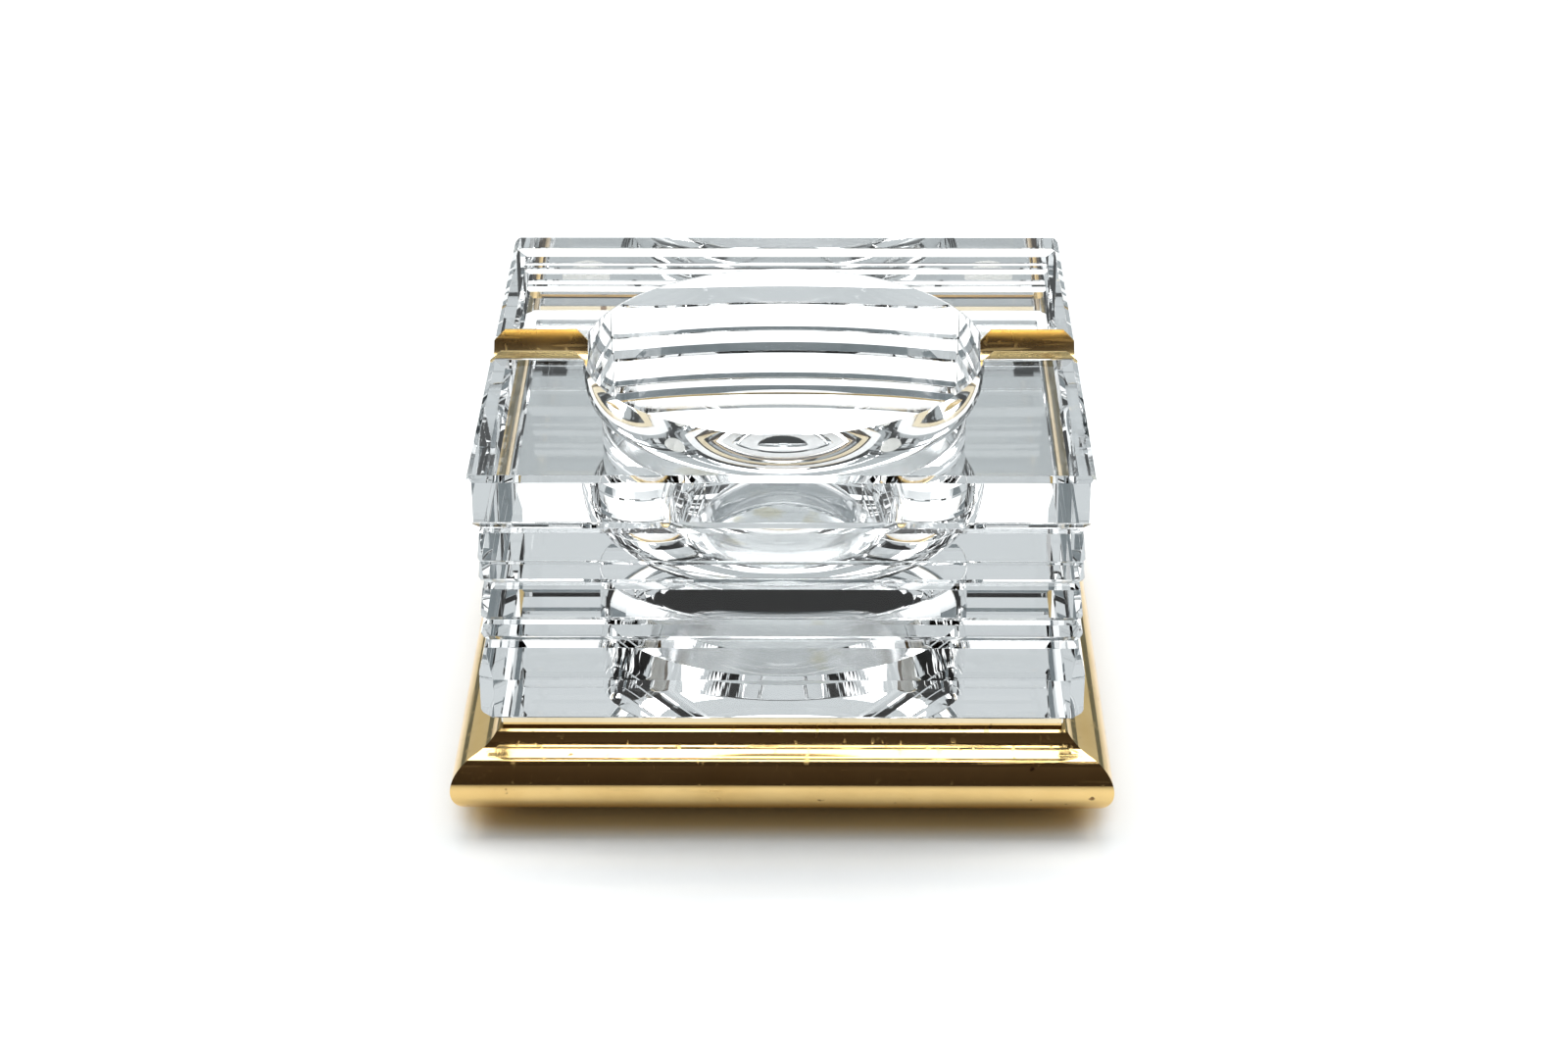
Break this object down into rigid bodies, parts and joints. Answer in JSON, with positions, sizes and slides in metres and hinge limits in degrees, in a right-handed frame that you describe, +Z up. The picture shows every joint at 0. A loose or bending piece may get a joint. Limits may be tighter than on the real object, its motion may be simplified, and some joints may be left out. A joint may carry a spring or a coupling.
{
  "type": "ashtray",
  "caption": "Square cut-crystal desk bowl with gold-lined rest notches in its rim, on a moulded brass plinth with a felt foot.",
  "frame": {"origin": "middle of the felt's underside, the surface the object stands on", "axes": "+Z up; the two rests lie along X; the front of the object faces -Y"},
  "size_m": [0.1202, 0.1202, 0.0717],
  "materials": {
    "crystal": "clear lead crystal, cut and polished",
    "rest_gold": "polished gold plate, lightly worn",
    "plinth_brass": "polished and lacquered, fine scratches and small nicks",
    "mirror_sheet": "bright silvered sheet, a little stained and streaked",
    "cement": "thin clear cement",
    "plate_steel": "plain rolled sheet",
    "screw_steel": "bright zinc plated",
    "felt": "dense dark felt"
  },
  "bodies": {
    "root": {"crystal_block": "crystal", "rest_liner_left": "rest_gold", "rest_liner_right": "rest_gold", "rest_bond_left": "cement", "rest_bond_right": "cement", "crystal_bond": "cement", "mirror_plate": "mirror_sheet", "seat_plate": "plinth_brass", "plinth_rail_front": "plinth_brass", "plinth_rail_back": "plinth_brass", "plinth_rail_left": "plinth_brass", "plinth_rail_right": "plinth_brass", "bottom_plate": "plate_steel", "plate_screws": "screw_steel", "felt_pad": "felt"}
  },
  "joints": []
}
